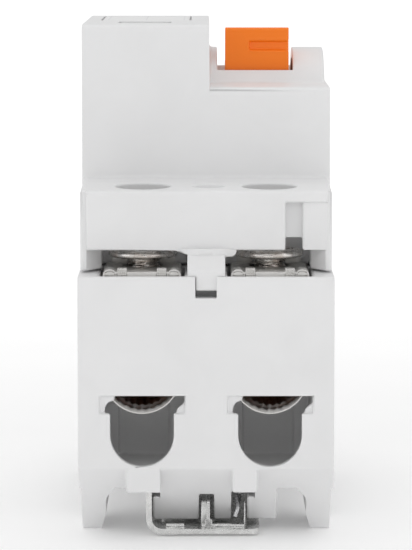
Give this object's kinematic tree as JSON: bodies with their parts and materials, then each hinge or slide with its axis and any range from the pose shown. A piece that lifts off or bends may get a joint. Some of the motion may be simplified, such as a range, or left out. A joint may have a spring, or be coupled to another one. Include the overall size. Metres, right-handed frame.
{
  "type": "residual current device",
  "caption": "Rail-mounted two-pole residual current device with a toggle, a test button, screw terminals at both ends and a sprung rail clip.",
  "frame": {"origin": "middle of the footprint, on the plane of the rail feet", "axes": "+X across the device to the toggle side, +Y along it to the line terminals, +Z from the rail to the toggle"},
  "size_m": [0.036, 0.085, 0.0722],
  "materials": {
    "housing_plastic": "moulded white thermoplastic, fine satin texture",
    "label": "blank printed-label stock, matt",
    "button_plastic": "satin light grey plastic",
    "toggle_plastic": "satin orange plastic",
    "inner_plastic": "black moulded plastic",
    "copper": "bare rolled copper alloy",
    "braid_copper": "woven copper braid",
    "winding_copper": "enamelled copper wire",
    "contact_silver": "silver alloy, dull",
    "pin_steel": "turned steel",
    "spring_steel": "drawn spring wire",
    "arc_steel": "plated steel sheet",
    "clip_steel": "bright zinc-plated steel sheet",
    "cage_zinc": "zinc-plated steel, knurled inside",
    "screw_zinc": "zinc-plated steel",
    "resistor_body": "lacquered ceramic"
  },
  "bodies": {
    "housing": {"base_housing": "housing_plastic", "upper_cover": "housing_plastic", "rating_label": "label", "button_spring": "spring_steel", "test_contact_pad": "copper", "test_resistor": "resistor_body", "toggle_pin": "pin_steel", "toggle_spring": "spring_steel", "mechanism_frame": "inner_plastic", "relay_case": "inner_plastic", "relay_coil": "winding_copper", "latch_pin": "pin_steel", "core_ring": "inner_plastic", "secondary_winding": "winding_copper", "carrier_pin": "pin_steel", "clip_spring": "spring_steel", "load_bar_left": "copper", "primary_conductor_left": "copper", "flexible_lead_left": "braid_copper", "line_bar_left": "copper", "fixed_contact_left": "contact_silver", "arc_chute_left": "arc_steel", "load_bar_right": "copper", "primary_conductor_right": "copper", "flexible_lead_right": "braid_copper", "line_bar_right": "copper", "fixed_contact_right": "contact_silver", "arc_chute_right": "arc_steel"},
    "toggle": {"toggle": "toggle_plastic", "crank_pin": "pin_steel"},
    "contact_carrier": {"contact_carrier": "inner_plastic", "contact_arm_left": "copper", "contact_spring_left": "spring_steel", "contact_arm_right": "copper", "contact_spring_right": "spring_steel"},
    "test_button": {"test_button": "button_plastic"},
    "relay_plunger": {"relay_plunger": "pin_steel"},
    "latch_lever": {"latch_lever": "inner_plastic"},
    "rail_clip": {"rail_clip": "clip_steel"},
    "clamp_cage_load_left": {"clamp_cage_load_left": "cage_zinc"},
    "terminal_screw_load_left": {"terminal_screw_load_left": "screw_zinc"},
    "clamp_cage_line_left": {"clamp_cage_line_left": "cage_zinc"},
    "terminal_screw_line_left": {"terminal_screw_line_left": "screw_zinc"},
    "clamp_cage_load_right": {"clamp_cage_load_right": "cage_zinc"},
    "terminal_screw_load_right": {"terminal_screw_load_right": "screw_zinc"},
    "clamp_cage_line_right": {"clamp_cage_line_right": "cage_zinc"},
    "terminal_screw_line_right": {"terminal_screw_line_right": "screw_zinc"}
  },
  "joints": [
    {"name": "toggle_swing", "type": "hinge", "parent": "housing", "child": "toggle", "pos_m": [0, 0, 0.0541], "axis": [-1, 0, 0], "range_deg": [0, 50]},
    {"name": "carrier_swing", "type": "hinge", "parent": "housing", "child": "contact_carrier", "pos_m": [0, 0, 0.031], "axis": [1, 0, 0], "range_deg": [0, 21]},
    {"name": "test_button_press", "type": "slide", "parent": "housing", "child": "test_button", "axis": [0, 0, -1], "range_m": [0, 0.0016], "stiffness_N_per_m": 500, "springref_m": -0.002, "deforming": ["button_spring"]},
    {"name": "relay_plunger_slide", "type": "slide", "parent": "housing", "child": "relay_plunger", "axis": [0, 1, 0], "range_m": [0, 0.0015]},
    {"name": "latch_swing", "type": "hinge", "parent": "housing", "child": "latch_lever", "pos_m": [0, -0.0024, 0.0412], "axis": [-1, 0, 0], "range_deg": [0, 13]},
    {"name": "rail_clip_slide", "type": "slide", "parent": "housing", "child": "rail_clip", "axis": [0, -1, 0], "range_m": [0, 0.0045], "stiffness_N_per_m": 2000, "springref_m": -0.002, "deforming": ["clip_spring"]},
    {"name": "cage_slide_load_left", "type": "slide", "parent": "housing", "child": "clamp_cage_load_left", "axis": [0, 0, -1], "range_m": [0, 0.0064]},
    {"name": "screw_turn_load_left", "type": "hinge", "parent": "housing", "child": "terminal_screw_load_left", "pos_m": [-0.009, -0.0315, 0.03], "axis": [0, 0, 1], "range_deg": [0, 2885]},
    {"name": "cage_slide_load_right", "type": "slide", "parent": "housing", "child": "clamp_cage_load_right", "axis": [0, 0, -1], "range_m": [0, 0.0064]},
    {"name": "screw_turn_load_right", "type": "hinge", "parent": "housing", "child": "terminal_screw_load_right", "pos_m": [0.009, -0.0315, 0.03], "axis": [0, 0, 1], "range_deg": [0, 2885]},
    {"name": "cage_slide_line_left", "type": "slide", "parent": "housing", "child": "clamp_cage_line_left", "axis": [0, 0, -1], "range_m": [0, 0.0064]},
    {"name": "screw_turn_line_left", "type": "hinge", "parent": "housing", "child": "terminal_screw_line_left", "pos_m": [-0.009, 0.0315, 0.03], "axis": [0, 0, 1], "range_deg": [0, 2885]},
    {"name": "cage_slide_line_right", "type": "slide", "parent": "housing", "child": "clamp_cage_line_right", "axis": [0, 0, -1], "range_m": [0, 0.0064]},
    {"name": "screw_turn_line_right", "type": "hinge", "parent": "housing", "child": "terminal_screw_line_right", "pos_m": [0.009, 0.0315, 0.03], "axis": [0, 0, 1], "range_deg": [0, 2885]}
  ],
  "couplings": [
    {"joint": "carrier_swing", "follows": "toggle_swing", "ratio": 0.40051},
    {"joint": "latch_swing", "follows": "relay_plunger_slide", "rad_per_m": 145},
    {"joint": "screw_turn_load_left", "follows": "cage_slide_load_left", "rad_per_m": 7854},
    {"joint": "screw_turn_load_right", "follows": "cage_slide_load_right", "rad_per_m": 7854},
    {"joint": "screw_turn_line_left", "follows": "cage_slide_line_left", "rad_per_m": 7854},
    {"joint": "screw_turn_line_right", "follows": "cage_slide_line_right", "rad_per_m": 7854}
  ]
}
